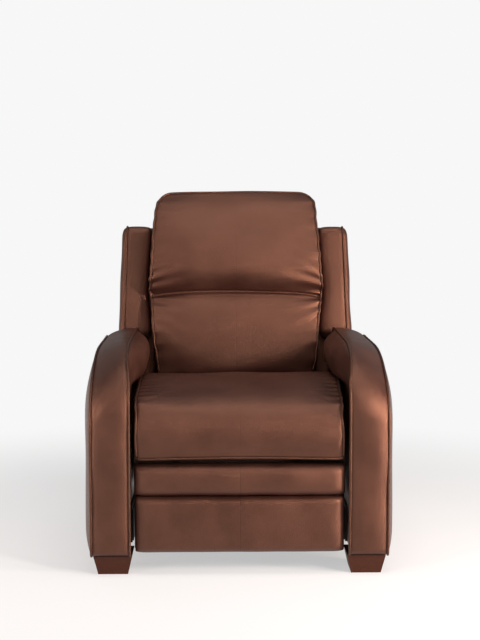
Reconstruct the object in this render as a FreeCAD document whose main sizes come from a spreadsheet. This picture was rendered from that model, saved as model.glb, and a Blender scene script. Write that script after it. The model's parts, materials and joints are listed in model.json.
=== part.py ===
import FreeCAD, Part
import Sketcher
import math
import os

# A leather recliner armchair. It stands on four block feet and faces -Y, with +Z up and the origin on the
# floor under the middle of its footprint. Lengths are millimetres. "Depth" sizes are measured back from the
# front plane of the arms.
V = FreeCAD.Vector

doc = FreeCAD.newDocument("recliner")
sheet = doc.addObject("Spreadsheet::Sheet", "Sizes")

SIZES = {
    # overall
    "chair_width": 840, "chair_depth": 920, "chair_height": 1035,
    # feet
    "foot_height": 52, "foot_top": 104, "foot_base": 80, "foot_inset": 80, "foot_front_depth": 62,
    "foot_rear_depth": 630, "bolt_radius": 5, "bolt_length": 62,
    # arms: the band runs over the front, the top and the rear slope, between two padded side panels
    "arm_inner": 302, "panel_bulge": 24, "arm_length": 700, "arm_top_length": 580, "arm_rear_height": 400,
    "arm_top_inner": 605, "arm_top_outer": 580, "round_depth_inner": 220, "round_rise_inner": 165,
    "round_depth_outer": 320, "round_rise_outer": 180, "band_thick": 16, "panel_gap": 0.8,
    "panel_face": 298, "frame_inner": 318, "frame_cover": 14, "panel_roll": 40,
    "arm_post": 45, "arm_web": 9,
    # the stuffed roll on each arm's inner side, above the seat cushion
    "pillow_thick": 40, "pillow_front_depth": 130, "pillow_rear_depth": 503, "pillow_drop": 20, "pillow_gap": 5,
    "pillow_round": 26,
    # base rails and steel base plates
    "rail_low": 58, "rail_high": 160, "rail_front_depth": 125, "rail_rear_depth": 595, "rail_inner": 294.3,
    "cross_high": 104, "cross_thick": 25, "cross_front_depth": 300, "cross_rear_depth": 565,
    "plate_x": 291, "plate_thick": 3, "plate_low": 62, "plate_high": 150, "plate_front_depth": 130,
    "plate_rear_depth": 592,
    # linkage layers: four millimetre steel at five millimetre pitch, working inwards from the base plate
    "layer_pitch": 5, "link_thick": 4, "pin_radius": 4, "pin_clearance": 0.06, "link_half": 10,
    # seat swing links
    "swing_length": 85, "swing_rest": 20, "swing_base_high": 130, "swing_front_depth": 190,
    "swing_rear_depth": 500,
    # steel seat rails
    "seat_rail_front": 94, "seat_rail_rear": 622, "seat_rail_low": 195, "seat_rail_high": 281.5,
    # footrest linkage, lengths between pivots and angles above the forward direction when closed
    "drive_depth": 105, "drive_high": 232, "drive_length": 150, "drive_tail": 20, "drive_angle": -85,
    "mid_length": 179.563, "mid_angle": 87.789, "mid_lobe": 14,
    "guide_depth": 134.2, "guide_high": 252.4, "guide_length": 171.6, "guide_angle": -80.53,
    "strut_length": 179.6, "strut_angle": 86.74, "lug_drop": 20, "lug_ahead": 5, "bar_radius": 7, "bar_offset": 36,
    # footrest
    "footrest_half": 283.5, "footrest_low": 60, "footrest_high": 298, "footrest_crease": 214,
    "pad_thick": 42.5, "pad_front": 2, "board_thick": 15, "board_half": 270, "board_margin": 8,
    # seat frame, springs and cushion
    "frame_low": 282, "frame_high": 322, "frame_half": 285, "frame_front_depth": 70, "frame_rear_depth": 515,
    "frame_thick": 25, "side_thick": 35, "spring_wire": 1.9, "spring_pitch": 24, "spring_count": 5,
    "spring_width": 46, "cushion_half": 288, "cushion_low": 326, "cushion_lip": 308, "cushion_top": 502,
    "cushion_rear_depth": 572, "cushion_rear_top": 440, "cushion_shoulder": 461, "cushion_round": 24,
    # back, in its own leaning frame with the hinge as origin
    "hinge_depth": 600, "hinge_high": 300, "hinge_radius": 5, "back_tilt": 13, "post_thick": 25.8, "bracket_gap": 0.2, "back_front": -20, "back_rear": 145, "post_low": -70, "post_high": 620,
    "back_rail": 45,
    "back_half": 274, "back_low_half": 243, "back_pad_low": 150, "back_pad_front": -128, "back_shoulder": 330,
    "back_round": 80, "back_edge": 28, "spring_room": 4.4, "rear_cover_thick": 15.19, "corner_round": 70, "side_low": 118,
    "side_clearance": 6, "wing_low": 270, "wing_high": 620, "wing_inner": 279, "wing_outer": 352,
    "cover_low": 150,
    "wing_front": -50, "wing_rear": 145, "head_low": 630, "soft_gap": 0.5,
    # release strap and latch
    "strap_thick": 3, "strap_width": 30, "strap_low": 296, "strap_top": 462, "strap_depth": 250,
    "cover_half": 165,
}

for row, (alias, value) in enumerate(SIZES.items(), start=1):
    sheet.set(f"A{row}", alias)
    sheet.set(f"B{row}", str(value))
    sheet.setAlias(f"B{row}", alias)
doc.recompute()


def size(alias):
    return float(sheet.get(alias))


def arm_outer():
    """X of the arm's outer piping line."""
    return size("chair_width") / 2 - size("panel_bulge")


def frame_outer():
    return arm_outer() - size("frame_cover")


def post_outer():
    """X of the back post's outer face, which meets the bracket in the third linkage layer."""
    return size("plate_x") - 3 * size("layer_pitch") - size("bracket_gap")


DERIVED = {
    "foot_x": "(chair_width/2 - foot_inset)",
    "frame_outer": "(chair_width/2 - panel_bulge - frame_cover)",
    "post_inner": "(plate_x - 3*layer_pitch - bracket_gap - post_thick)",
    "post_outer": "(plate_x - 3*layer_pitch - bracket_gap)",
}


def named(text):
    """Puts the sheet's name before each alias in an expression, longest alias first."""
    for short, full in DERIVED.items():
        text = text.replace(short, full)
    words = sorted(SIZES, key=len, reverse=True)
    out, i = "", 0
    while i < len(text):
        word = next((w for w in words if text.startswith(w, i)), None)
        starts_word = i == 0 or not (text[i - 1].isalnum() or text[i - 1] == "_")
        if word and starts_word:
            out += "Sizes." + word
            i += len(word)
        else:
            out += text[i]
            i += 1
    return out


def bind(thing, **links):
    for prop, text in links.items():
        thing.setExpression(prop.replace("__", "."), named(text))


def front(depth):
    """The Y expression of a depth behind the front plane."""
    return f"{depth} - chair_depth/2"


NODES = []


def node(thing, label):
    thing.Label = label
    NODES.append(thing)
    return thing


def board(label, x, y, z, length, width, height, keep=True):
    """A straight piece square to the chair: its low corner and its three sizes are expressions."""
    box = doc.addObject("Part::Box", label)
    bind(box, Length=length, Width=width, Height=height)
    bind(box, Placement__Base__x=x, Placement__Base__y=y, Placement__Base__z=z)
    return node(box, label) if keep else box


def lean(box, x, y, z):
    """Sets a piece in the back's leaning frame, at hinge-local x, y, z."""
    box.Placement.Rotation = FreeCAD.Rotation(V(-1, 0, 0), 1)
    bind(
        box,
        Placement__Base__x=x,
        Placement__Base__y=f"hinge_depth - chair_depth/2 + ({y})*cos(back_tilt*1deg) + ({z})*sin(back_tilt*1deg)",
        Placement__Base__z=f"hinge_high - ({y})*sin(back_tilt*1deg) + ({z})*cos(back_tilt*1deg)",
        Placement__Rotation__Angle="back_tilt",
    )


def leaning_board(label, x, y, z, length, width, height, keep=True):
    box = doc.addObject("Part::Box", label)
    bind(box, Length=length, Width=width, Height=height)
    lean(box, x, y, z)
    return node(box, label) if keep else box


def rod(label, radius, length, x, y, z, axis, keep=False):
    """A cylinder from x, y, z along X or Z."""
    bar = doc.addObject("Part::Cylinder", label)
    bind(bar, Radius=radius, Height=length)
    turn = FreeCAD.Rotation(V(0, 1, 0), 90) if axis == "x" else FreeCAD.Rotation()
    bar.Placement.Rotation = turn
    bind(bar, Placement__Base__x=x, Placement__Base__y=y, Placement__Base__z=z)
    return node(bar, label) if keep else bar


def cut(label, base, *tools, keep=True):
    made = base
    for k, tool in enumerate(tools):
        step = doc.addObject("Part::Cut", f"{label}_cut{k}")
        step.Base, step.Tool = made, tool
        made = step
    return node(made, label) if keep else made


def fuse(label, *shapes, keep=True):
    made = doc.addObject("Part::MultiFuse", f"{label}_fuse")
    made.Shapes = list(shapes)
    return node(made, label) if keep else made


def mirrored(label, source):
    """The left-hand copy of a right-hand piece."""
    twin = doc.addObject("Part::Mirroring", label)
    twin.Source = source
    twin.Base, twin.Normal = V(0, 0, 0), V(1, 0, 0)
    return node(twin, label)


def feature(label, shape, keep=True):
    thing = doc.addObject("Part::Feature", label)
    thing.Shape = shape
    return node(thing, label) if keep else thing


# ---------------------------------------------------------------- feet
def foot(label, depth):
    """A block tapering down from foot_top to foot_base, drilled for its hanger bolt."""
    block = doc.addObject("Part::Wedge", f"{label}_block")
    bind(block, Ymin="0", Ymax="foot_height", Xmin="-foot_base/2", Xmax="foot_base/2", Zmin="-foot_base/2",
         Zmax="foot_base/2", X2min="-foot_top/2", X2max="foot_top/2", Z2min="-foot_top/2", Z2max="foot_top/2")
    block.Placement.Rotation = FreeCAD.Rotation(V(1, 0, 0), 90)
    bind(block, Placement__Base__x="foot_x", Placement__Base__y=front(depth))
    hole = rod(f"{label}_hole", "bolt_radius + pin_clearance", "foot_height", "foot_x", front(depth),
               "foot_height/2", "z")
    return cut(label, block, hole)


for place, where in (("front", "foot_front_depth"), ("rear", "foot_rear_depth")):
    right = foot(f"foot_{place}_right", where)
    mirrored(f"foot_{place}_left", right)


# ---------------------------------------------------------------- arms
def arm_blend(x, inner, outer):
    """A size that runs straight from the arm's inner piping line to its outer one."""
    share = (x - size("arm_inner")) / (arm_outer() - size("arm_inner"))
    return size(inner) + share * (size(outer) - size(inner))


def arm_outline(x, inset, low=None):
    """The arm's side outline at X = x, moved inwards by inset: front, round, top, rear slope and rear."""
    y0 = -size("chair_depth") / 2
    top = arm_blend(x, "arm_top_inner", "arm_top_outer")
    round_depth = arm_blend(x, "round_depth_inner", "round_depth_outer")
    round_rise = arm_blend(x, "round_rise_inner", "round_rise_outer")
    low = size("foot_height") if low is None else low
    slope = V(0, size("arm_length") - size("arm_top_length"), size("arm_rear_height") - size("arm_top_inner"))
    shift = inset * slope.Length / -slope.z
    rise = slope.z / slope.y
    y_front, y_rear = y0 + inset, y0 + size("arm_length") - inset
    z_top = top - inset
    start_y = y0 + size("arm_top_length") - shift

    def slope_z(y):
        return size("arm_top_inner") + (y - start_y) * rise

    y_top_rear = start_y + (z_top - size("arm_top_inner")) / rise
    a, b = round_depth - inset, round_rise - inset
    arc = Part.BezierCurve()
    kappa = 0.5523
    arc.setPoles([V(x, y_front, z_top - b), V(x, y_front, z_top - b + kappa * b),
                  V(x, y_front + a - kappa * a, z_top), V(x, y_front + a, z_top)])
    points = [V(x, y_front + a, z_top), V(x, y_top_rear, z_top), V(x, y_rear, slope_z(y_rear)),
              V(x, y_rear, low), V(x, y_front, low), V(x, y_front, z_top - b)]
    edges = [arc.toShape()]
    edges += [Part.LineSegment(p, q).toShape() for p, q in zip(points, points[1:])]
    return Part.Wire(edges)


def arm_solid(*sections):
    return Part.makeLoft([arm_outline(*s) for s in sections], True, True)


def arm_pieces():
    inner, outer, bottom = size("arm_inner"), arm_outer(), size("foot_height")
    thick, gap = size("band_thick"), size("panel_gap")
    below = bottom - 20
    band = arm_solid((inner, 0), (outer, 0)).cut(
        arm_solid((inner - 5, thick, below), (outer + 5, thick, below)))
    inset = thick + gap
    frame = arm_solid((size("frame_inner"), inset), (frame_outer(), inset))
    roll = size("panel_roll")
    inner_panel = arm_solid((size("panel_face"), roll, bottom + roll - inset), (inner, inset),
                            (size("frame_inner") - gap, inset))
    outer_panel = arm_solid((frame_outer() + gap, inset), (outer, inset),
                            (size("chair_width") / 2, roll + gap, bottom + roll - inset))
    return band, frame, inner_panel, outer_panel


band_shape, frame_shape, inner_shape, outer_shape = arm_pieces()
arm_band = feature("arm_band_right", band_shape)
arm_outer_panel = feature("arm_outer_panel_right", outer_shape)

frame_block = feature("arm_frame_block", frame_shape, keep=False)
half_web = "(frame_outer - frame_inner)/2 - arm_web/2"
pocket_place = {"y": front("band_thick + arm_post"), "z": "foot_height + 2*arm_post"}
pocket_size = ("arm_length - 2*arm_post - 2*band_thick - 60", "arm_rear_height - foot_height - 3*arm_post")
inner_pocket = board("arm_pocket_inner", "frame_inner - 1", pocket_place["y"], pocket_place["z"],
                     f"{half_web} + 1", *pocket_size, keep=False)
outer_pocket = board("arm_pocket_outer", f"frame_outer - ({half_web})", pocket_place["y"], pocket_place["z"],
                     f"{half_web} + 1", *pocket_size, keep=False)
bolt_holes = [rod(f"arm_bolt_hole_{k}", "bolt_radius + pin_clearance", "bolt_length", "foot_x", front(depth),
                  "foot_height/2", "z") for k, depth in enumerate(("foot_front_depth", "foot_rear_depth"))]
arm_frame = cut("arm_frame_right", frame_block, inner_pocket, outer_pocket, *bolt_holes)

rail_recess = board("rail_recess", "panel_face - 10", front("rail_front_depth - panel_gap"), "0",
                    "frame_inner - panel_face + 10", "rail_rear_depth - rail_front_depth + 2*panel_gap",
                    "rail_high + panel_gap", keep=False)
arm_inner_face = cut("arm_inner_face", feature("arm_inner_block", inner_shape, keep=False), rail_recess, keep=False)


def arm_pillow_shape():
    """The stuffed roll on the panel's inner side. It clears the seat cushion's crown at the top of the seat's
    swing, and ends just ahead of the back cushion."""
    y0, swing = -size("chair_depth") / 2, size("swing_length")
    lift = swing * (1 - math.cos(math.radians(size("swing_rest"))))
    low = size("cushion_top") + lift + size("pillow_gap")
    high = size("arm_top_inner") - size("pillow_drop")
    thick = size("pillow_thick")
    block = Part.makeBox(thick, size("pillow_rear_depth") - size("pillow_front_depth"), high - low,
                         V(size("panel_face") - thick, y0 + size("pillow_front_depth"), low))
    rim = [e for e in block.Edges if e.BoundBox.XMax < size("panel_face") - 1]
    return block.makeFillet(min(size("pillow_round"), 0.45 * (high - low), 0.9 * thick), rim)


arm_inner_panel = doc.addObject("Part::Compound", "arm_inner_panel_right")
arm_inner_panel.Links = [arm_inner_face, feature("arm_pillow", arm_pillow_shape(), keep=False)]
node(arm_inner_panel, "arm_inner_panel_right")
for piece in (arm_band, arm_outer_panel, arm_frame, arm_inner_panel):
    mirrored(piece.Label.replace("right", "left"), piece)

bolts = []
for k, depth in enumerate(("foot_front_depth", "foot_rear_depth")):
    bolt = rod(f"foot_bolt_{k}", "bolt_radius", "bolt_length - 2*panel_gap", "foot_x", front(depth),
               "foot_height/2 + panel_gap", "z")
    twin = doc.addObject("Part::Mirroring", f"foot_bolt_twin_{k}")
    twin.Source, twin.Normal = bolt, V(1, 0, 0)
    bolts += [bolt, twin]
bolt_group = doc.addObject("Part::Compound", "foot_bolts")
bolt_group.Links = bolts
node(bolt_group, "foot_bolts")

# ---------------------------------------------------------------- base rails
side_rail = board("base_side_rail_right", "rail_inner", front("rail_front_depth"), "rail_low",
                  "frame_inner - panel_gap - rail_inner", "rail_rear_depth - rail_front_depth",
                  "rail_high - rail_low")
mirrored("base_side_rail_left", side_rail)
for place in ("front", "rear"):
    board(f"base_{place}_rail", "-(plate_x - 0.3)", front(f"cross_{place}_depth"), "plate_low",
          "2*(plate_x - 0.3)", "cross_thick", "cross_high - plate_low")


# ---------------------------------------------------------------- flat steel links
def layer(number):
    """X of a linkage layer: 1 lies inside the base plate, and each next one a pitch further in."""
    return f"(plate_x - {number}*layer_pitch)"


HOLE = "pin_radius + pin_clearance"


def total(words):
    """The number that a plain sum of sizes stands for, used to draw a sketch near its final shape."""
    return sum(0.0 if w == "0" else size(w) for w in words.split(" + "))


def slot_sketch(body, name, length, half, holes):
    """A sketch of a round-ended bar from the origin to length along its first axis, with pin holes."""
    sketch = body.newObject("Sketcher::SketchObject", name)
    plane = next(f for f in body.Origin.OriginFeatures if f.Role == "YZ_Plane")
    sketch.AttachmentSupport = [(plane, "")]
    sketch.MapMode = "FlatFace"
    up, r, far = V(0, 0, 1), size(half), total(length)
    sketch.addGeometry(Part.ArcOfCircle(Part.Circle(V(0, 0, 0), up, r), math.pi / 2, 3 * math.pi / 2), False)
    sketch.addGeometry(Part.ArcOfCircle(Part.Circle(V(far, 0, 0), up, r), -math.pi / 2, math.pi / 2), False)
    sketch.addGeometry(Part.LineSegment(V(0, -r, 0), V(far, -r, 0)), False)
    sketch.addGeometry(Part.LineSegment(V(far, r, 0), V(0, r, 0)), False)
    rule = Sketcher.Constraint
    sketch.addConstraint([
        rule("Coincident", 0, 3, -1, 1), rule("PointOnObject", 1, 3, -1),
        rule("Tangent", 0, 2, 2, 1), rule("Tangent", 2, 2, 1, 1),
        rule("Tangent", 1, 2, 3, 1), rule("Tangent", 3, 2, 0, 1),
    ])
    for label, value, at in (("Radius", r, half), ("DistanceX", far, length)):
        made = rule("Radius", 0, value) if label == "Radius" else rule("DistanceX", 0, 3, 1, 3, value)
        index = sketch.addConstraint(made)
        sketch.renameConstraint(index, label)
        sketch.setExpression(f"Constraints.{label}", named(at))
    for k, (along, radius) in enumerate(holes):
        circle = sketch.addGeometry(Part.Circle(V(total(along), 0, 0), up, 3), False)
        sized = [(f"hole{k}", rule("Radius", circle, 3.0), radius)]
        if along == "0":
            sketch.addConstraint(rule("Coincident", circle, 3, -1, 1))
        else:
            sketch.addConstraint(rule("PointOnObject", circle, 3, -1))
            sized.append((f"along{k}", rule("DistanceX", -1, 1, circle, 3, total(along)), along))
        for label, made, at in sized:
            index = sketch.addConstraint(made)
            sketch.renameConstraint(index, label)
            sketch.setExpression(f"Constraints.{label}", named(at))
    return sketch


def steel_link(label, length, x, depth, high, angle, holes, pins=(), ear=None):
    """A flat bar from its first pivot towards its second, angle degrees above the forward direction.
    holes are (distance along, radius); pins are (distance along, sideways, start x, end x); an ear is
    (distance along, sideways to its hub, hub hole radius or None)."""
    body = doc.addObject("PartDesign::Body", f"{label}_bar")
    sketch = slot_sketch(body, f"{label}_outline", length, "link_half", holes)
    pad = body.newObject("PartDesign::Pad", f"{label}_pad")
    pad.Profile = sketch
    bind(pad, Length="link_thick")
    parts = [body]
    for k, (along, sideways, start, end) in enumerate(pins):
        pin = doc.addObject("Part::Cylinder", f"{label}_pin{k}")
        bind(pin, Radius="pin_radius", Height=f"({end}) - ({start})")
        pin.Placement.Rotation = FreeCAD.Rotation(V(0, 1, 0), 90)
        bind(pin, Placement__Base__x=f"({start}) - ({x})", Placement__Base__y=along, Placement__Base__z=sideways)
        parts.append(pin)
    if ear:
        along, reach, bore = ear
        tab = doc.addObject("Part::Box", f"{label}_tab")
        bind(tab, Length="link_thick", Width="2*link_half", Height=f"abs({reach})")
        bind(tab, Placement__Base__y=f"{along} - link_half", Placement__Base__z=f"min(0; {reach})")
        hub = rod(f"{label}_hub", "link_half", "link_thick", "0", along, reach, "x")
        parts = [body, tab, hub] + parts[1:]
    made = body
    if len(parts) > 1:
        made = fuse(f"{label}_whole", *parts, keep=False)
    if ear:
        tools = [rod(f"{label}_ear_hole", ear[2], "link_thick + 2", "-1", ear[0], ear[1], "x")]
        clear = [rod(f"{label}_clear{k}", radius, "link_thick + 2", "-1", along, "0", "x")
                 for k, (along, radius) in enumerate(holes)]
        made = cut(f"{label}_drilled", made, *tools, *clear, keep=False)
    holder = doc.addObject("Part::Compound", label)
    holder.Links = [made]
    holder.Placement.Rotation = FreeCAD.Rotation(V(1, 0, 0), 90)
    bind(holder, Placement__Base__x=x, Placement__Base__y=front(depth), Placement__Base__z=high,
         Placement__Rotation__Angle=f"180 - ({angle})")
    return node(holder, label)


linkage = []

# seat swing links: base pivot below, seat pivot above, leaning back by swing_rest
for place in ("front", "rear"):
    linkage.append(steel_link(
        f"seat_swing_{place}_right", "swing_length", layer(1), f"swing_{place}_depth", "swing_base_high",
        "90 + swing_rest", [("0", HOLE)],
        pins=[("swing_length", "0", f"{layer(2)} + 0.1", f"{layer(1)} + link_thick")]))

# drive link: hangs from the seat rail, carries the knee, and its tail works the footrest strut
linkage.append(steel_link(
    "footrest_drive_link_right", "drive_length + drive_tail", layer(3), "drive_depth", "drive_high",
    "drive_angle", [("drive_length", HOLE), ("drive_length + drive_tail", HOLE)],
    pins=[("0", "0", layer(3), f"{layer(2)} + link_thick")],
    ear=("drive_length", "bar_offset", "bar_radius - 3")))
knee_y = "drive_depth - drive_length*cos(drive_angle*1deg)"
knee_z = "drive_high + drive_length*sin(drive_angle*1deg)"
linkage.append(steel_link(
    "footrest_mid_link_right", "mid_length", layer(4), knee_y, knee_z, "mid_angle",
    [("mid_length", HOLE)],
    pins=[("0", "0", layer(4), f"{layer(3)} + link_thick")],
    ear=("0", "-mid_lobe", HOLE)))
linkage.append(steel_link(
    "footrest_guide_link_right", "guide_length", layer(5), "guide_depth", "guide_high", "guide_angle",
    [], pins=[("0", "0", layer(5), f"{layer(2)} + link_thick")]))
tail_y = "drive_depth - (drive_length + drive_tail)*cos(drive_angle*1deg)"
tail_z = "drive_high + (drive_length + drive_tail)*sin(drive_angle*1deg)"
linkage.append(steel_link(
    "footrest_strut_right", "strut_length", layer(2), tail_y, tail_z, "strut_angle", [],
    pins=[("0", "0", layer(3), f"{layer(2)} + link_thick")]))
for piece in linkage:
    mirrored(piece.Label.replace("right", "left"), piece)

rod("footrest_torque_bar", "bar_radius", f"2*{layer(3)}", f"-{layer(3)}",
    front(f"{knee_y} - bar_offset*sin(drive_angle*1deg)"), f"{knee_z} - bar_offset*cos(drive_angle*1deg)", "x",
    keep=True)


# ---------------------------------------------------------------- steel plates
def steel_plate(label, number, front_depth, rear_depth, low, high, pivots):
    """An upright plate in a linkage layer, drilled at its pivots, which are (depth, height) pairs."""
    blank = board(f"{label}_blank", layer(number), front(front_depth), low, "link_thick",
                  f"{rear_depth} - ({front_depth})", f"{high} - ({low})", keep=False)
    holes = [rod(f"{label}_hole{k}", radius, "link_thick + 2", f"{layer(number)} - 1", front(depth), high_at, "x")
             for k, (depth, high_at, radius) in enumerate(pivots)]
    return cut(label, blank, *holes)


base_plate = board("base_plate_blank", "plate_x", front("plate_front_depth"), "plate_low", "plate_thick",
                   "plate_rear_depth - plate_front_depth", "plate_high - plate_low", keep=False)
base_pins = [rod(f"base_pin_{place}", "pin_radius", f"plate_x - {layer(1)} + 0.5", layer(1),
                 front(f"swing_{place}_depth"), "swing_base_high", "x") for place in ("front", "rear")]
base_plate = fuse("base_plate_right", base_plate, *base_pins)
mirrored("base_plate_left", base_plate)

swing_top_high = "swing_base_high + swing_length*cos(swing_rest*1deg)"
swing_top_back = "swing_length*sin(swing_rest*1deg)"
seat_rail = steel_plate(
    "seat_rail_plain", 2, "seat_rail_front", "seat_rail_rear", "seat_rail_low", "seat_rail_high",
    [("drive_depth", "drive_high", HOLE), ("guide_depth", "guide_high", HOLE),
     (f"swing_front_depth + {swing_top_back}", swing_top_high, HOLE),
     (f"swing_rear_depth + {swing_top_back}", swing_top_high, HOLE)])
hinge_plate = board("hinge_plate", layer(2), front("hinge_depth - 22"), "seat_rail_high - 1", "link_thick", "44",
                    "hinge_high - seat_rail_high + 16", keep=False)
NODES.remove(seat_rail)
seat_rail_body = fuse("seat_rail_blank_right", seat_rail, hinge_plate, keep=False)
seat_rail = cut("seat_rail_right", seat_rail_body,
                rod("hinge_hole", "hinge_radius + pin_clearance", "link_thick + 2", f"{layer(2)} - 1",
                    front("hinge_depth"), "hinge_high", "x"))
mirrored("seat_rail_left", seat_rail)

# ---------------------------------------------------------------- footrest
board("footrest_board", "-board_half", front("pad_front + pad_thick + 0.5"), "footrest_low + board_margin",
      "2*board_half", "board_thick", "footrest_high - footrest_low - 2*board_margin")


def soft_block(x0, x1, y0, y1, z0, z1, radius):
    """A cushion-like block with its edges rounded."""
    block = Part.makeBox(x1 - x0, y1 - y0, z1 - z0, V(x0, y0, z0))
    return block.makeFillet(radius, block.Edges)


def footrest_pads():
    half, y0 = size("footrest_half"), -size("chair_depth") / 2 + size("pad_front")
    y1, gap = y0 + size("pad_thick"), size("soft_gap")
    crease, rounding = size("footrest_crease"), 14
    upper = soft_block(-half, half, y0, y1, crease + gap / 2, size("footrest_high"), rounding)
    lower = soft_block(-half, half, y0, y1, size("footrest_low"), crease - gap / 2, rounding)
    return upper, lower


upper_pad, lower_pad = footrest_pads()
feature("footrest_upper_roll", upper_pad)
feature("footrest_lower_pad", lower_pad)

bracket_front = "pad_front + pad_thick + 0.5 + board_thick"
pivot_depth = f"({knee_y} - mid_length*cos(mid_angle*1deg))"
pivot_high = f"({knee_z} + mid_length*sin(mid_angle*1deg))"
web = board("bracket_web", layer(3), front(bracket_front), f"{pivot_high} - lug_drop - link_half", "link_thick",
            f"{pivot_depth} + link_half - 1 - ({bracket_front})", "lug_drop + 2*link_half - 1", keep=False)
flange = board("bracket_flange", f"{layer(3)} - 40", front(bracket_front), f"{pivot_high} - lug_drop - link_half",
               "40 + link_thick", "3", "lug_drop + 2*link_half - 1", keep=False)
pivot_pin = rod("bracket_pivot_pin", "pin_radius", f"{layer(3)} - {layer(4)} + 1", layer(4),
                front(pivot_depth), pivot_high, "x")
strut_hole = rod("bracket_strut_hole", "pin_radius + 2", "link_thick + 2", f"{layer(3)} - 1",
                 front(f"{pivot_depth} - lug_ahead"), f"{pivot_high} - lug_drop", "x")
bracket = cut("footrest_bracket_right", fuse("bracket_body", web, flange, pivot_pin, keep=False), strut_hole)
mirrored("footrest_bracket_left", bracket)

# ---------------------------------------------------------------- seat frame and springs
frame_inside = "frame_half - side_thick"
for place, depth in (("front", "frame_front_depth"), ("rear", "frame_rear_depth - frame_thick")):
    board(f"seat_{place}_rail", f"-({frame_inside} - 0.1)", front(depth), "frame_low",
          f"2*({frame_inside} - 0.1)", "frame_thick", "frame_high - frame_low")
seat_side = board("seat_side_rail_right", frame_inside, front("frame_front_depth"), "frame_low",
                  "side_thick", "frame_rear_depth - frame_front_depth", "frame_high - frame_low")
mirrored("seat_side_rail_left", seat_side)


def zigzag_spring(x, y_start, y_end, z, width, pitch, wire):
    """A sinuous spring: straight cross runs joined by half-round bends, swept with round wire."""
    runs = int((y_end - y_start) / pitch) + 1
    step = (y_end - y_start) / (runs - 1)
    half = width / 2 - step / 2
    edges, side, y = [], 1, y_start
    for k in range(runs):
        edges.append(Part.LineSegment(V(x - side * half, y, z), V(x + side * half, y, z)).toShape())
        if k < runs - 1:
            middle = V(x + side * (half + step / 2), y + step / 2, z)
            edges.append(Part.Arc(V(x + side * half, y, z), middle, V(x + side * half, y + step, z)).toShape())
        side, y = -side, y + step
    path = Part.Wire(edges)
    start = path.Edges[0].Vertexes[0].Point
    ring = Part.Wire(Part.makeCircle(wire, start, V(1, 0, 0)))
    return path.makePipeShell([ring], True, False)


def spring_bank(half_span, y_start, y_end, z):
    count = int(size("spring_count"))
    step = 2 * half_span / (count - 1)
    return Part.makeCompound([
        zigzag_spring(-half_span + k * step, y_start, y_end, z, size("spring_width"), size("spring_pitch"),
                      size("spring_wire")) for k in range(count)])


seat_y0 = -size("chair_depth") / 2 + size("frame_front_depth")
seat_y1 = -size("chair_depth") / 2 + size("frame_rear_depth")
feature("seat_springs", spring_bank(190, seat_y0 + 6, seat_y1 - 8, size("frame_high") + size("spring_wire")))


def seat_cushion_shape():
    """Side outline with a rounded front that drops over the frame, extruded across and rounded."""
    y0, half = -size("chair_depth") / 2, size("cushion_half")
    lip, low, rear = size("cushion_lip"), size("cushion_low"), size("cushion_rear_depth")
    shoulder, top, rear_top = size("cushion_shoulder"), size("cushion_top"), size("cushion_rear_top")

    def at(depth, z):
        return V(-half, y0 + depth, z)

    back_of_lip = size("frame_front_depth") - 6
    nose = Part.Arc(at(10, lip), at(3, (lip + shoulder) / 2), at(48, shoulder)).toShape()
    crown = Part.Arc(at(48, shoulder), at(285, top), at(rear, rear_top)).toShape()
    line = [at(rear, rear_top), at(rear, low), at(back_of_lip, low), at(back_of_lip, lip), at(10, lip)]
    edges = [nose, crown] + [Part.LineSegment(p, q).toShape() for p, q in zip(line, line[1:])]
    solid = Part.Face(Part.Wire(edges)).extrude(V(2 * half, 0, 0))
    rim = [e for e in solid.Edges if abs(e.BoundBox.XMin - e.BoundBox.XMax) < 0.01 and e.BoundBox.ZMin > lip + 1
           and e.BoundBox.ZMax > shoulder - 1 and e.Curve.TypeId == "Part::GeomCircle"]
    return solid.makeFillet(size("cushion_round"), rim)


feature("seat_cushion", seat_cushion_shape())


# ---------------------------------------------------------------- back
def back_placed(shape):
    """Moves a hinge-local shape to the hinge, leaning back."""
    tilt = FreeCAD.Rotation(V(-1, 0, 0), size("back_tilt"))
    hinge = V(0, size("hinge_depth") - size("chair_depth") / 2, size("hinge_high"))
    shape.Placement = FreeCAD.Placement(hinge, tilt).multiply(shape.Placement)
    return shape


post_blank = leaning_board("back_post_blank", "post_inner", "back_front", "post_low", "post_outer - post_inner",
                           "back_rear - back_front", "post_high - post_low", keep=False)
node(post_blank, "back_post_right")
mirrored("back_post_left", post_blank)
for name, low in (("bottom", "post_low"), ("top", "post_high - back_rail")):
    leaning_board(f"back_{name}_rail", "-(post_inner - 0.1)", "back_front", low, "2*(post_inner - 0.1)", "back_rail",
                  "back_rail")
bracket_plate = leaning_board("back_bracket_blank", layer(3), "back_front", "post_low + 5", "link_thick",
                              "110", "180", keep=False)
hinge_pin = rod("hinge_pin", "hinge_radius", f"{layer(2)} + link_thick - {layer(3)}", layer(3),
                front("hinge_depth"), "hinge_high", "x")
back_bracket = fuse("back_bracket_right", bracket_plate, hinge_pin)
mirrored("back_bracket_left", back_bracket)


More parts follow.
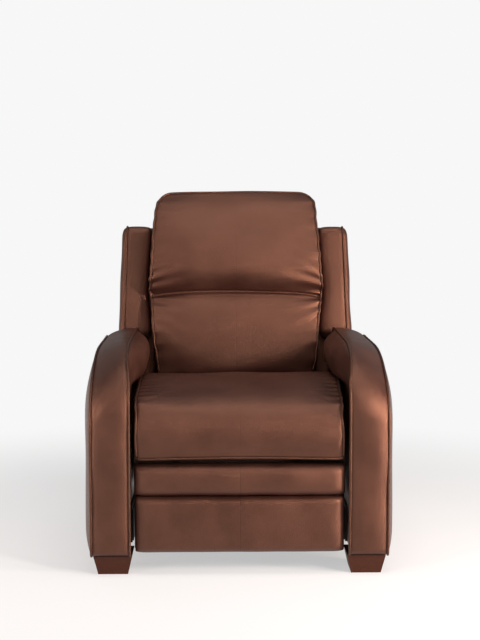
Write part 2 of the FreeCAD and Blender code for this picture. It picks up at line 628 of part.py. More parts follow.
def back_cushion_shape():
    """The front outline, narrow between the arms and wide above them, pushed out and rounded."""
    half, low_half = size("back_half"), size("back_low_half")
    low, shoulder, r = size("back_pad_low"), size("back_shoulder"), size("back_round")
    high = back_top()
    y_rear, y_front = size("back_front") - size("spring_room"), size("back_pad_front")
    k = r * (1 - math.sqrt(0.5))

    def at(x, z):
        return V(x, y_rear, z)

    pts = [at(-low_half, low), at(low_half, low), at(half, shoulder), at(half, high - r)]
    edges = [Part.LineSegment(p, q).toShape() for p, q in zip(pts, pts[1:])]
    edges.append(Part.Arc(at(half, high - r), at(half - k, high - k), at(half - r, high)).toShape())
    edges.append(Part.LineSegment(at(half - r, high), at(r - half, high)).toShape())
    edges.append(Part.Arc(at(r - half, high), at(k - half, high - k), at(-half, high - r)).toShape())
    edges.append(Part.LineSegment(at(-half, high - r), at(-half, shoulder)).toShape())
    edges.append(Part.LineSegment(at(-half, shoulder), at(-low_half, low)).toShape())
    solid = Part.Face(Part.Wire(edges)).extrude(V(0, y_front - y_rear, 0))
    rim = [e for e in solid.Edges if abs(e.BoundBox.YMax - y_front) < 0.01 and abs(e.BoundBox.YMin - y_front) < 0.01]
    return back_placed(solid.makeFillet(size("back_edge"), rim))


def back_top():
    """Height of the back's top along its own lean, so that the cushion's rounded front edge peaks at
    chair_height."""
    tilt, edge = math.radians(size("back_tilt")), size("back_edge")
    rise = size("chair_height") - size("hinge_high") - edge
    return (rise + (size("back_pad_front") + edge) * math.sin(tilt)) / math.cos(tilt) + edge


feature("back_cushion", back_cushion_shape())


def wing_shape():
    return back_placed(soft_block(size("wing_inner"), size("wing_outer"), size("wing_front"), size("wing_rear"),
                                  size("wing_low"), size("wing_high"), 16))


wing = feature("back_wing_right", wing_shape())
mirrored("back_wing_left", wing)


def side_block_shape():
    """The covered blocks on the posts' outer sides: wide below the wings, thin where they carry a wing."""
    gap, clear = size("soft_gap"), size("side_clearance")
    x0, x1, x2 = post_outer() + 0.1, size("wing_inner") - gap, size("panel_face") - clear
    low, split, high = size("side_low"), size("wing_low") - gap, size("wing_low") + 320
    front_y, rear_y = size("back_front"), size("back_rear")
    thin = Part.makeBox(x1 - x0, 150, high - split + 1, V(x0, front_y, split - 1))
    wide = Part.makeBox(x2 - x0, rear_y - front_y, split - low, V(x0, front_y, low))
    right = wide.fuse(thin).removeSplitter()
    left = right.mirror(V(0, 0, 0), V(1, 0, 0))
    return back_placed(Part.makeCompound([right, left]))


feature("back_side_blocks", side_block_shape())

def upper_corners(solid, half, high):
    """Rounds the two top corners as seen from the front."""
    rim = [e for e in solid.Edges if abs(abs(e.CenterOfMass.x) - half) < 0.01 and abs(e.CenterOfMass.z - high) < 0.01
           and abs(e.BoundBox.XMax - e.BoundBox.XMin) < 0.01]
    return solid.makeFillet(size("corner_round"), rim)


def headrest_block_shape():
    """The padded block behind the top of the cushion."""
    half, high = size("back_half") - 4, back_top() - 4
    low, y0, y1 = size("head_low"), size("back_front"), size("back_rear")
    block = Part.makeBox(2 * half, y1 - y0, high - low, V(-half, y0, low))
    return back_placed(upper_corners(block, half, high))


feature("headrest_block", headrest_block_shape())


def rear_panel_shape():
    """The upholstered rear cover, wide behind the wings and narrow between the arms."""
    y0, thick = size("back_rear") + size("soft_gap"), size("rear_cover_thick")
    wide, narrow = size("wing_outer"), size("panel_face") - size("side_clearance")
    low, split, high_wide, high = size("post_low"), size("cover_low"), size("wing_high"), back_top() - 4
    half = size("back_half") - 4
    pts = [(-narrow, low), (narrow, low), (narrow, split), (wide, split), (wide, high_wide), (half, high_wide),
           (half, high), (-half, high), (-half, high_wide), (-wide, high_wide), (-wide, split), (-narrow, split)]
    ring = Part.makePolygon([V(x, y0, z) for x, z in pts + pts[:1]])
    panel = Part.Face(ring).extrude(V(0, thick, 0))
    return back_placed(upper_corners(panel, half, high))


feature("back_rear_panel", rear_panel_shape())


def back_spring_bank():
    """Four sinuous springs over the front of the back, from the bottom rail to the top rail."""
    wire, count, span = size("spring_wire"), 4, 180
    low, high = size("post_low") + 20, size("post_high") - 16
    rows = []
    for k in range(count):
        row = zigzag_spring(-span + k * 2 * span / (count - 1), low, high, 0, size("spring_width"),
                            size("spring_pitch"), wire)
        row.rotate(V(0, 0, 0), V(1, 0, 0), 90)
        rows.append(row)
    bank = Part.makeCompound(rows)
    bank.translate(V(0, size("back_front") - wire - 0.2, 0))
    return back_placed(bank)


feature("back_springs", back_spring_bank())

# ---------------------------------------------------------------- seat front cover and release strap
board("seat_front_cover", "-cover_half", front("frame_front_depth - 5.5"), "frame_low + 2", "2*cover_half", "5",
      "frame_high - frame_low - 2")


def strap_part(name, x_near, x_far, low, high):
    return board(name, f"-({x_far})", front("strap_depth"), low, f"{x_far} - ({x_near})", "strap_width",
                 f"{high} - ({low})", keep=False)


strap_foot = "frame_half + 0.3"
fuse("release_strap",
     strap_part("strap_leg", "cushion_half + 1", "cushion_half + 1 + strap_thick", "strap_low", "strap_top"),
     strap_part("strap_jog", strap_foot, "cushion_half + 1 + strap_thick", "strap_low", "strap_low + 6"),
     strap_part("strap_toe", strap_foot, f"{strap_foot} + 2.5", "strap_low - 12", "strap_low + 6"))

doc.recompute()


def write_nodes():
    os.makedirs("parts", exist_ok=True)
    bad = [o.Name for o in doc.Objects if "Invalid" in o.State or "Error" in o.State]
    if bad:
        raise RuntimeError(f"these objects failed: {bad}")
    for thing in NODES:
        shape = thing.Shape
        if shape.isNull() or not shape.isValid() or not shape.Solids:
            raise RuntimeError(f"{thing.Label} has no valid solid")
    for thing in NODES:
        thing.Shape.exportStep(f"parts/{thing.Label}.step")
    print(len(NODES), "nodes written")


write_nodes()
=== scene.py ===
import bmesh
import bpy
import json
import math
import numpy as np
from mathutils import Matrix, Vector


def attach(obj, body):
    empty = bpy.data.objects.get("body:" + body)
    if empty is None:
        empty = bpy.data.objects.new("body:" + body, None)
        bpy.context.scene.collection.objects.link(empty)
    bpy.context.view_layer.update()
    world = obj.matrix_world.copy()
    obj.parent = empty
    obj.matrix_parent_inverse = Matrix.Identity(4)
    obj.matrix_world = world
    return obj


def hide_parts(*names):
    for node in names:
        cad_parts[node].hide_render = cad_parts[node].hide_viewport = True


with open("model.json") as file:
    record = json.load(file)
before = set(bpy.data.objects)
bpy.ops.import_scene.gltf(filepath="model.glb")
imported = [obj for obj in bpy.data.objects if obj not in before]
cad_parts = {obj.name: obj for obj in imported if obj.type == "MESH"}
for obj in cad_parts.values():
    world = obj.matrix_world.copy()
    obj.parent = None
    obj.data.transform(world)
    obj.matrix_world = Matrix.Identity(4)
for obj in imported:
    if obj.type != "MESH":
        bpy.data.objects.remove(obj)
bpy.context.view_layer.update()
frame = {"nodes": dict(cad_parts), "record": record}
print("frame loaded")

# small tools


def hexColour(text):
    # sRGB hex to linear: c / 12.92 below 0.04045, else ((c + 0.055) / 1.055) ^ 2.4
    c = np.array([int(text[i:i + 2], 16) / 255 for i in (1, 3, 5)])
    lin = np.where(c <= 0.04045, c / 12.92, ((c + 0.055) / 1.055) ** 2.4)
    return (*[float(v) for v in lin], 1.0)


def addNode(tree, kind, settings=None, inputs=None):
    # a node of that kind, with its own settings, and each input either a value or another node's output
    node = tree.nodes.new(kind)
    for key, value in (settings or {}).items():
        setattr(node, key, value)
    for key, value in (inputs or {}).items():
        socket = node.inputs[key]
        if isinstance(value, bpy.types.NodeSocket):
            tree.links.new(value, socket)
        else:
            socket.default_value = value
    return node


def meshFromArrays(name, verts, faces, material, smooth=True):
    mesh = bpy.data.meshes.new(name)
    mesh.from_pydata(verts.tolist(), [], faces.tolist())
    mesh.validate()
    if smooth:
        mesh.polygons.foreach_set("use_smooth", np.ones(len(mesh.polygons), dtype=bool))
    piece = bpy.data.objects.new(name, mesh)
    bpy.context.scene.collection.objects.link(piece)
    mesh.materials.append(material)
    return piece


def surface(name, points, material, fillEnds=False):
    # quads between neighbouring rings of points: the end rings are filled, or else the points that meet at the
    # poles are merged, and all faces turn outwards
    rows, cols = points.shape[:2]
    i, j = np.arange(rows - 1)[:, None], np.arange(cols)[None, :]
    i2, j2 = i + 1, (j + 1) % cols
    quads = np.stack([i * cols + j, i2 * cols + j, i2 * cols + j2, i * cols + j2], axis=-1)
    piece = meshFromArrays(name, points.reshape(-1, 3), quads.reshape(-1, 4), material)
    bm = bmesh.new()
    bm.from_mesh(piece.data)
    if fillEnds:
        bmesh.ops.holes_fill(bm, edges=[e for e in bm.edges if e.is_boundary], sides=0)
    else:
        bmesh.ops.remove_doubles(bm, verts=bm.verts, dist=1e-5)
    bmesh.ops.recalc_face_normals(bm, faces=bm.faces)
    bm.to_mesh(piece.data)
    bm.free()
    return piece


def unit(v):
    return v / np.maximum(np.linalg.norm(v, axis=-1, keepdims=True), 1e-9)


def tube(name, path, radius, across, material):
    # a round cord of leather: at each point of the path a circle in the plane of two directions,
    # the cross product of the run with the across vector, and that product crossed with the run
    sides = 10
    run = unit(np.gradient(path, axis=0))
    side = unit(np.cross(run, across))
    up = np.cross(side, run)
    turn = np.linspace(0, 2 * math.pi, sides, endpoint=False)
    ring = np.cos(turn)[None, :, None] * side[:, None] + np.sin(turn)[None, :, None] * up[:, None]
    points = path[:, None] + radius * ring
    ends = [np.repeat(path[k][None, None], sides, axis=1) for k in (0, -1)]
    return surface(name, np.concatenate([ends[0], points, ends[1]]), material)


def resample(path, count):
    # the same line with its points evenly spaced along its length
    step = np.linalg.norm(np.diff(path, axis=0), axis=1)
    along = np.concatenate([[0], np.cumsum(step)])
    at = np.linspace(0, along[-1], count)
    return np.stack([np.interp(at, along, path[:, k]) for k in range(3)], axis=1)


def hugged(path, piece, lift):
    # each point moved to the piece's nearest surface point plus lift along its normal, then averaged twice
    bpy.context.view_layer.update()
    near = [piece.closest_point_on_mesh(Vector(point)) for point in path]
    line = np.array([list(spot + normal * lift) for _, spot, normal, _ in near])
    for _ in range(2):
        line[1:-1] = (line[:-2] + 2 * line[1:-1] + line[2:]) / 4
    return line


def ripple(p, seed, wavelength, height):
    # soft unevenness: a third of the sum of nine sine waves of about that length, the seed giving each
    # its direction, its exact length and its start
    rng = np.random.default_rng(seed)
    total = np.zeros(p.shape[:-1])
    for _ in range(9):
        way = unit(rng.normal(size=3))
        total += np.sin(p @ way * 2 * math.pi / (wavelength * rng.uniform(0.7, 1.5)) + rng.uniform(0, 6.28))
    return height * total / 3


def softStep(x, a, b):
    # 0 before a, 1 after b, and 3 t^2 - 2 t^3 between them
    t = np.clip((x - a) / (b - a), 0, 1)
    return t * t * (3 - 2 * t)


backHinge = np.array([0.0, 0.140, 0.300])
backTilt = math.radians(13)


def fromBack(p):
    # the leaning back's own x, y, z to the chair's: y and z turn by the tilt about the hinge
    c, s = math.cos(backTilt), math.sin(backTilt)
    x, y, z = p[..., 0], p[..., 1], p[..., 2]
    return np.stack([x, backHinge[1] + y * c + z * s, backHinge[2] - y * s + z * c], axis=-1)


def toBack(p):
    # the way back: fromBack undone
    c, s = math.cos(backTilt), math.sin(backTilt)
    y, z = p[..., 1] - backHinge[1], p[..., 2] - backHinge[2]
    return np.stack([p[..., 0], y * c - z * s, y * s + z * c], axis=-1)


# the camera, the wall and the lamps

studio = {"eye": (-0.073, -3.76, 1.011), "target": (0.0, -0.46, 0.687), "lens": 71.2,
          "wall": "#f7f7f7", "floor": "#9ea1a4", "ambient": 0.30, "wallBright": 1.0,
          "floorGlow": 0.53, "sweepNear": 0.7, "sweepFar": 2.0}


def facing(place, aim):
    return (Vector(aim) - Vector(place)).to_track_quat("-Z", "Y").to_euler()


cam = bpy.data.cameras.new("camera")
cam.lens, cam.sensor_width = studio["lens"], 36
camera = bpy.data.objects.new("camera", cam)
bpy.context.scene.collection.objects.link(camera)
camera.location = studio["eye"]
camera.rotation_euler = facing(studio["eye"], studio["target"])
bpy.context.scene.camera = camera
bpy.context.scene.view_settings.view_transform = "Standard"

world = bpy.data.worlds.new("studio")
bpy.context.scene.world = world
world.use_nodes = True
backdrop = world.node_tree.nodes["Background"]
backdrop.inputs["Color"].default_value = hexColour(studio["wall"])
backdrop.inputs["Strength"].default_value = studio["ambient"]
wallSeen = addNode(world.node_tree, "ShaderNodeBackground", None,
                   {"Color": hexColour(studio["wall"]), "Strength": studio["wallBright"]})
ray = addNode(world.node_tree, "ShaderNodeLightPath")
both = addNode(world.node_tree, "ShaderNodeMixShader", None,
               {0: ray.outputs["Is Camera Ray"], 1: backdrop.outputs[0], 2: wallSeen.outputs[0]})
addNode(world.node_tree, "ShaderNodeOutputWorld", None, {"Surface": both.outputs[0]})
world.node_tree.nodes.remove(world.node_tree.nodes["World Output"])


def areaLight(name, place, aim, size, power, tint):
    data = bpy.data.lights.new(name, "AREA")
    data.shape, data.size, data.size_y, data.energy = "RECTANGLE", size[0], size[1], power
    data.color = hexColour(tint)[:3]
    lamp = bpy.data.objects.new(name, data)
    bpy.context.scene.collection.objects.link(lamp)
    lamp.location = place
    lamp.rotation_euler = facing(place, aim)


areaLight("keyRight", (2.1, -2.4, 1.6), (0.1, -0.2, 0.5), (0.4, 0.8), 76, "#fff0e6")
areaLight("fillLeft", (-2.3, -2.5, 1.4), (-0.1, -0.2, 0.5), (0.4, 0.8), 30, "#fff4ee")
areaLight("rimRight", (2.1, -1.2, 0.6), (0.4, -0.4, 0.4), (0.25, 0.9), 70, "#ffe2cf")
areaLight("rimLeft", (-2.2, -0.7, 0.6), (-0.4, -0.4, 0.4), (0.3, 1.0), 24, "#ffe2cf")
areaLight("topSoft", (0.2, -0.9, 3.2), (0.0, 0.0, 0.3), (1.4, 1.4), 36, "#fff6f0")

# finishes


def newMaterial(name):
    made = bpy.data.materials.new(name)
    made.use_nodes = True
    made.node_tree.nodes.clear()
    return made, made.node_tree


def mixColour(tree, factor, a, b, blend="MIX"):
    return addNode(tree, "ShaderNodeMix", {"data_type": "RGBA", "blend_type": blend},
                   {0: factor, 6: a, 7: b}).outputs[2]


def waxedLeather(name, look):
    # drum-dyed and waxed hide: cloudy two-tone dye, a fine pebble grain and a broad warm shine. The grain of
    # real hide, about 1 mm, is drawn at 2.6 mm so that it shows
    made, tree = newMaterial(name)
    where = addNode(tree, "ShaderNodeTexCoord").outputs["Object"]
    clouds = addNode(tree, "ShaderNodeTexNoise", None,
                     {"Vector": where, "Scale": 1 / look["cloud"], "Detail": 5.0, "Roughness": 0.62})
    spread = addNode(tree, "ShaderNodeMapRange", None, {0: clouds.outputs["Fac"], 1: 0.32, 2: 0.68})
    dye = mixColour(tree, spread.outputs[0], hexColour(look["deep"]), hexColour(look["light"]))
    grain = addNode(tree, "ShaderNodeTexVoronoi", {"feature": "DISTANCE_TO_EDGE"},
                    {"Vector": where, "Scale": 1 / look["grain"]})
    furrow = addNode(tree, "ShaderNodeMapRange", None, {0: grain.outputs["Distance"], 1: 0.0, 2: 0.16})
    crease = addNode(tree, "ShaderNodeTexNoise", None,
                     {"Vector": where, "Scale": 1 / look["crease"], "Detail": 3.0, "Distortion": 1.4})
    shade = addNode(tree, "ShaderNodeMapRange", None, {0: furrow.outputs[0], 3: 0.86, 4: 1.0})
    colour = mixColour(tree, 1.0, dye, shade.outputs[0], "MULTIPLY")
    height = addNode(tree, "ShaderNodeMath", {"operation": "MULTIPLY_ADD"},
                     {0: crease.outputs["Fac"], 1: 0.9, 2: furrow.outputs[0]})
    if look.get("seam"):
        # the flat seam down the middle: a dark line two millimetres wide with a shallow valley
        apart = addNode(tree, "ShaderNodeSeparateXYZ", None, {0: where})
        off = addNode(tree, "ShaderNodeMath", {"operation": "ABSOLUTE"}, {0: apart.outputs[0]})
        line = addNode(tree, "ShaderNodeMapRange", None, {0: off.outputs[0], 1: 0.0005, 2: 0.0022})
        tint = addNode(tree, "ShaderNodeMapRange", None, {0: line.outputs[0], 3: look["seam"], 4: 1.0})
        colour = mixColour(tree, 1.0, colour, tint.outputs[0], "MULTIPLY")
        height = addNode(tree, "ShaderNodeMath", {"operation": "MULTIPLY_ADD"},
                         {0: line.outputs[0], 1: 3.2 * (1 - look["seam"]), 2: height.outputs[0]})
    bump = addNode(tree, "ShaderNodeBump", None, {"Strength": look["relief"], "Distance": 0.0008,
                   "Height": height.outputs[0]})
    gloss = addNode(tree, "ShaderNodeMapRange", None, {0: clouds.outputs["Fac"], 1: 0.3, 2: 0.7,
                    3: look["rough"] - 0.05, 4: look["rough"] + 0.07})
    skin = addNode(tree, "ShaderNodeBsdfPrincipled", None, {
        "Base Color": colour, "Roughness": gloss.outputs[0], "Normal": bump.outputs[0], "Metallic": 0.0,
        "IOR": 1.5, "Specular IOR Level": look["shine"], "Specular Tint": hexColour(look["shineTint"])})
    addNode(tree, "ShaderNodeOutputMaterial", None, {"Surface": skin.outputs[0]})
    return made


# cloud, grain and crease are sizes in metres; the welts' grain is drawn a little finer
hideLook = {"deep": "#2a1815", "light": "#38231e", "cloud": 0.085, "grain": 0.0026, "crease": 0.012,
            "relief": 0.35, "rough": 0.36, "shine": 1.0, "shineTint": "#ffb898"}
hide = waxedLeather("waxedLeather", hideLook)
hideSeamed = waxedLeather("waxedLeatherSeamed", {**hideLook, "seam": 0.6})
hideFaintSeam = waxedLeather("waxedLeatherFaintSeam", {**hideLook, "seam": 0.82})
# the welts are the hide's own leather drawn near black: painted shade standing for the dark lines of shade along
# the piped seams
weltHidePaintedShade = waxedLeather("weltLeatherPaintedShade", {**hideLook, "deep": "#170c09", "light": "#22130f", "grain": 0.0018})


def stainedBeech():
    # dark stain over beech: fine grain of about 2.4 mm, long in the height, under a satin lacquer
    made, tree = newMaterial("stainedBeech")
    where = addNode(tree, "ShaderNodeTexCoord").outputs["Object"]
    stretched = addNode(tree, "ShaderNodeMapping", None, {"Vector": where, "Scale": (1.0, 1.0, 0.08)})
    grain = addNode(tree, "ShaderNodeTexNoise", None,
                    {"Vector": stretched.outputs[0], "Scale": 420.0, "Detail": 4.0})
    colour = mixColour(tree, grain.outputs["Fac"], hexColour("#2a1209"), hexColour("#4a2413"))
    bump = addNode(tree, "ShaderNodeBump", None, {"Strength": 0.15, "Distance": 0.0004,
                   "Height": grain.outputs["Fac"]})
    wood = addNode(tree, "ShaderNodeBsdfPrincipled", None, {"Base Color": colour, "Roughness": 0.55,
                   "Specular IOR Level": 0.2, "Normal": bump.outputs[0]})
    addNode(tree, "ShaderNodeOutputMaterial", None, {"Surface": wood.outputs[0]})
    return made


def stainedPly():
    # frame plywood under a thin dark stain: long grain of about 5 mm shows through, no gloss
    made, tree = newMaterial("stainedPly")
    where = addNode(tree, "ShaderNodeTexCoord").outputs["Object"]
    stretched = addNode(tree, "ShaderNodeMapping", None, {"Vector": where, "Scale": (1.0, 0.07, 1.0)})
    grain = addNode(tree, "ShaderNodeTexNoise", None,
                    {"Vector": stretched.outputs[0], "Scale": 190.0, "Detail": 4.0})
    colour = mixColour(tree, grain.outputs["Fac"], hexColour("#2a1e16"), hexColour("#45342a"))
    ply = addNode(tree, "ShaderNodeBsdfPrincipled", None, {"Base Color": colour, "Roughness": 0.62})
    addNode(tree, "ShaderNodeOutputMaterial", None, {"Surface": ply.outputs[0]})
    return made


def paintedSteel():
    # black powder coat over pressed flat steel: slight orange peel of about 1 mm over wide patches of wear
    made, tree = newMaterial("powderCoatedSteel")
    where = addNode(tree, "ShaderNodeTexCoord").outputs["Object"]
    peel = addNode(tree, "ShaderNodeTexNoise", None, {"Vector": where, "Scale": 900.0, "Detail": 2.0})
    bump = addNode(tree, "ShaderNodeBump", None,
                   {"Strength": 0.2, "Distance": 0.0003, "Height": peel.outputs["Fac"]})
    wear = addNode(tree, "ShaderNodeTexNoise", None, {"Vector": where, "Scale": 22.0, "Detail": 5.0})
    colour = mixColour(tree, wear.outputs["Fac"], hexColour("#141414"), hexColour("#262628"))
    coat = addNode(tree, "ShaderNodeBsdfPrincipled", None, {"Base Color": colour, "Roughness": 0.62,
                   "Normal": bump.outputs[0]})
    addNode(tree, "ShaderNodeOutputMaterial", None, {"Surface": coat.outputs[0]})
    return made


def bareWire(name, tone):
    # drawn or plated steel: a satin shine that varies over about 6 mm
    made, tree = newMaterial(name)
    where = addNode(tree, "ShaderNodeTexCoord").outputs["Object"]
    patch = addNode(tree, "ShaderNodeTexNoise", None, {"Vector": where, "Scale": 160.0, "Detail": 3.0})
    rough = addNode(tree, "ShaderNodeMapRange", None, {0: patch.outputs["Fac"], 3: 0.28, 4: 0.46})
    wire = addNode(tree, "ShaderNodeBsdfPrincipled", None, {"Base Color": hexColour(tone), "Metallic": 1.0,
                   "Roughness": rough.outputs[0]})
    addNode(tree, "ShaderNodeOutputMaterial", None, {"Surface": wire.outputs[0]})
    return made


def liningCloth():
    # brown woven lining: its threads, about 1 mm apart, are drawn 5 mm apart so that they show. A wave's bands
    # lie 2 pi / 20 / scale metres apart
    made, tree = newMaterial("liningCloth")
    where = addNode(tree, "ShaderNodeTexCoord").outputs["Object"]
    warp = addNode(tree, "ShaderNodeTexWave", {"bands_direction": "X"}, {"Vector": where, "Scale": 63.0})
    weft = addNode(tree, "ShaderNodeTexWave", {"bands_direction": "Z"}, {"Vector": where, "Scale": 63.0})
    weave = addNode(tree, "ShaderNodeMath", {"operation": "MULTIPLY"}, {0: warp.outputs["Fac"],
                    1: weft.outputs["Fac"]})
    colour = mixColour(tree, weave.outputs[0], hexColour("#2c1812"), hexColour("#543226"))
    bump = addNode(tree, "ShaderNodeBump", None,
                   {"Strength": 0.5, "Distance": 0.0008, "Height": weave.outputs[0]})
    cloth = addNode(tree, "ShaderNodeBsdfPrincipled", None, {"Base Color": colour, "Roughness": 0.9,
                    "Sheen Weight": 0.3, "Normal": bump.outputs[0]})
    addNode(tree, "ShaderNodeOutputMaterial", None, {"Surface": cloth.outputs[0]})
    return made


def studioFloor():
    # matt studio floor with a glow of its own, that fades into the wall's white with distance from the middle
    made, tree = newMaterial("studioFloor")
    where = addNode(tree, "ShaderNodeTexCoord").outputs["Object"]
    far = addNode(tree, "ShaderNodeVectorMath", {"operation": "LENGTH"}, {0: where})
    fade = addNode(tree, "ShaderNodeMapRange", {"interpolation_type": "SMOOTHSTEP"},
                   {0: far.outputs["Value"], 1: studio["sweepNear"], 2: studio["sweepFar"]})
    paint = addNode(tree, "ShaderNodeBsdfPrincipled", None, {
        "Base Color": hexColour(studio["floor"]), "Roughness": 0.75,
        "Emission Color": hexColour(studio["wall"]), "Emission Strength": studio["floorGlow"]})
    glow = addNode(tree, "ShaderNodeEmission", None, {"Color": hexColour(studio["wall"]), "Strength": 1.0})
    both = addNode(tree, "ShaderNodeMixShader", None,
                   {0: fade.outputs[0], 1: paint.outputs[0], 2: glow.outputs[0]})
    addNode(tree, "ShaderNodeOutputMaterial", None, {"Surface": both.outputs[0]})
    return made


slotFinish = {"leather": hide, "foot_wood": stainedBeech(), "frame_wood": stainedPly(),
              "mechanism_steel": paintedSteel(), "spring_wire": bareWire("drawnWire", "#8d8d90"),
              "bolt_steel": bareWire("zincPlate", "#b4b6ba"), "cover_fabric": liningCloth()}
nodeSlot = {part["node"]: part["material_slot"] for part in frame["record"]["subparts"]}
for nodeName, node in frame["nodes"].items():
    node.data.materials.clear()
    node.data.materials.append(slotFinish[nodeSlot[nodeName]])
print("finishes made")

groundPoints = np.array([[-9, -9, 0], [9, -9, 0], [9, 9, 0], [-9, 9, 0]], dtype=float)
ground = meshFromArrays("ground", groundPoints, np.array([[0, 1, 2, 3]]), studioFloor(), smooth=False)

# arms

arm = {"inner": 0.302, "outer": 0.396, "front": -0.460, "length": 0.700, "topLength": 0.580, "rearHigh": 0.400,
       "topInner": 0.605, "topOuter": 0.580, "roundInner": (0.220, 0.165), "roundOuter": (0.320, 0.180),
       "low": 0.052, "crown": 0.010, "innerBulge": 0.0035, "outerBulge": 0.0235, "welt": 0.0036,
       "heart": (-0.12, 0.30), "roll": (0.018, 0.045), "pillow": 0.039, "frontIn": 0.008,
       "steps": {"front": 60, "round": 70, "top": 40, "slope": 40, "rear": 56, "low": 60}}


def armOutline(x):
    # the arm's side outline at each x, as (y, z): up the front, a quarter ellipse, along the top, down the
    # rear slope and the rear, and back along the bottom, all blending straight from the inner to the outer side
    x = np.asarray(x, dtype=float).reshape(-1, 1)
    share = (x - arm["inner"]) / (arm["outer"] - arm["inner"])
    top = arm["topInner"] + share * (arm["topOuter"] - arm["topInner"])
    a = arm["roundInner"][0] + share * (arm["roundOuter"][0] - arm["roundInner"][0])
    b = arm["roundInner"][1] + share * (arm["roundOuter"][1] - arm["roundInner"][1])
    y0, y1 = arm["front"], arm["front"] + arm["length"]
    slopeFall = (arm["rearHigh"] - arm["topInner"]) / (arm["length"] - arm["topLength"])
    yTop = y0 + arm["topLength"] + (top - arm["topInner"]) / slopeFall

    def line(ya, za, yb, zb, leg):
        t = np.linspace(0, 1, arm["steps"][leg], endpoint=False)[None]
        one = np.ones_like(x)
        return np.stack([ya * one + (yb - ya) * one * t, za * one + (zb - za) * one * t], axis=-1)

    turn = np.linspace(0, math.pi / 2, arm["steps"]["round"], endpoint=False)[None]
    arc = np.stack([y0 + a - a * np.cos(turn), top - b + b * np.sin(turn)], axis=-1)
    loop = np.concatenate([line(y0, arm["low"], y0, top - b, "front"), arc, line(y0 + a, top, yTop, top, "top"),
                           line(yTop, top, y1, arm["rearHigh"], "slope"),
                           line(y1, arm["rearHigh"], y1, arm["low"], "rear"),
                           line(y1, arm["low"], y0, arm["low"], "low")], axis=1)
    soft = sum(np.roll(loop, k, axis=1) * w for k, w in ((-2, 1), (-1, 2), (0, 3), (1, 2), (2, 1))) / 9
    run = np.roll(soft, -1, axis=1) - np.roll(soft, 1, axis=1)
    out = unit(np.stack([-run[..., 1], run[..., 0]], axis=-1))
    return soft, out


def armPillow(y, z):
    # the stuffed roll above the seat: (1 - |u|^2.6)^0.6, u from -1 at its foot to 1 at the arm's top, fading out
    # fore and aft
    foot, head = 0.494, 0.606
    u = np.clip((z - (foot + head) / 2) / ((head - foot) / 2), -1, 1)
    along = softStep(y, -0.40, -0.20) * (1 - softStep(y, 0.0, 0.10))
    return arm["pillow"] * (1 - np.abs(u) ** 2.6) ** 0.6 * along


def armFrontIn(x, y):
    # the front's inner edge leans in over the footrest's side, fading over 47 mm outwards and 60 mm back
    return arm["frontIn"] * (1 - softStep(x, 0.303, 0.350)) * softStep(-y, 0.385, 0.445)


def armSkin(side):
    # one closed hide: the panel rings shrink towards the panel's heart while x swells by
    # bulge * (1 - e^(-r/roll)); across the band, s from -1 to 1 between the welts, the outline is pushed out by
    # crown * (1 - |s|^2.6) less a 2 mm dip beside each welt
    ring = np.concatenate([[0], np.geomspace(0.012, 0.1, 9), np.linspace(0.125, 1, 36)])
    reach = 0.34
    rows = []
    for edge, bulge, sign, order in ((arm["inner"], arm["innerBulge"], -1, ring[::-1]),
                                     (arm["outer"], arm["outerBulge"], 1, ring)):
        line, _ = armOutline([edge])
        heart = np.array(arm["heart"])
        yz = heart + (line - heart) * (1 - order)[:, None, None]
        yz[..., 1] = np.maximum(yz[..., 1], arm["low"])
        x = edge + sign * bulge * (1 - np.exp(-order * reach / arm["roll"][sign > 0]))
        x = np.broadcast_to(x[:, None], yz.shape[:2])
        p = np.stack([x, yz[..., 0], yz[..., 1]], axis=-1)
        if sign < 0:
            p[..., 0] -= armPillow(p[..., 1], p[..., 2])
        p[..., 0] += sign * ripple(p, 3 if sign > 0 else 4, 0.24, 0.0022) * softStep(order, 0.05, 0.3)[:, None]
        rows.append(p)
    s = np.linspace(-1, 1, 27)[1:-1]
    xs = (arm["inner"] + arm["outer"]) / 2 + s * (arm["outer"] - arm["inner"]) / 2
    line, out = armOutline(xs)
    swell = arm["crown"] * (1 - np.abs(s) ** 2.6) - 0.002 * np.exp(-((1 - np.abs(s)) / 0.07) ** 2)
    lift = swell[:, None] * softStep(out[..., 1], -0.7, 0.0)
    p = np.stack([np.broadcast_to(xs[:, None], line.shape[:2]), line[..., 0], line[..., 1]], axis=-1)
    lift = lift + ripple(p, 7, 0.16, 0.0012) * softStep(out[..., 1], -0.7, 0.0)
    p[..., 1] += lift * out[..., 0]
    p[..., 2] += lift * out[..., 1]
    grid = np.concatenate([rows[0], p, rows[1]])
    grid[..., 0] -= armFrontIn(grid[..., 0], grid[..., 1])
    grid[..., 0] *= side
    return grid


def armWelt(edge, side, shift):
    line, out = armOutline([edge])
    # from the front's bottom over the top to the rear's
    count = sum(arm["steps"].values()) - arm["steps"]["low"]
    yz = line[0, :count] + out[0, :count] * shift
    x = edge - armFrontIn(np.full(count, edge), yz[:, 0])
    path = np.stack([x * side, yz[:, 0], yz[:, 1]], axis=-1)
    path[:, 2] = np.maximum(path[:, 2], arm["low"] + 0.001)
    return resample(path, 240)


for side, word in ((-1, "left"), (1, "right")):
    skin = surface(f"arm_{word}", armSkin(side), hide)
    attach(skin, "base")
    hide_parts(f"arm_band_{word}", f"arm_inner_panel_{word}", f"arm_outer_panel_{word}")
    for edge in ("inner", "outer"):
        line = hugged(armWelt(arm[edge], side, 0.0012), skin, 0.0012)
        welt = tube(f"arm_welt_{edge}_{word}", line, arm["welt"], np.array([1.0, 0, 0]), weltHidePaintedShade)
        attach(welt, "base")
print("arms made")

# padded pieces: a closed form is remeshed, blown up like a filled cushion and capped


filling = {"pressure": 4.0, "stiffness": 12, "quality": 4, "frames": 20, "quickShare": 0.4}


def readPoints(mesh, key="co"):
    flat = np.empty(len(mesh.vertices) * 3)
    mesh.vertices.foreach_get(key, flat)
    return flat.reshape(-1, 3)


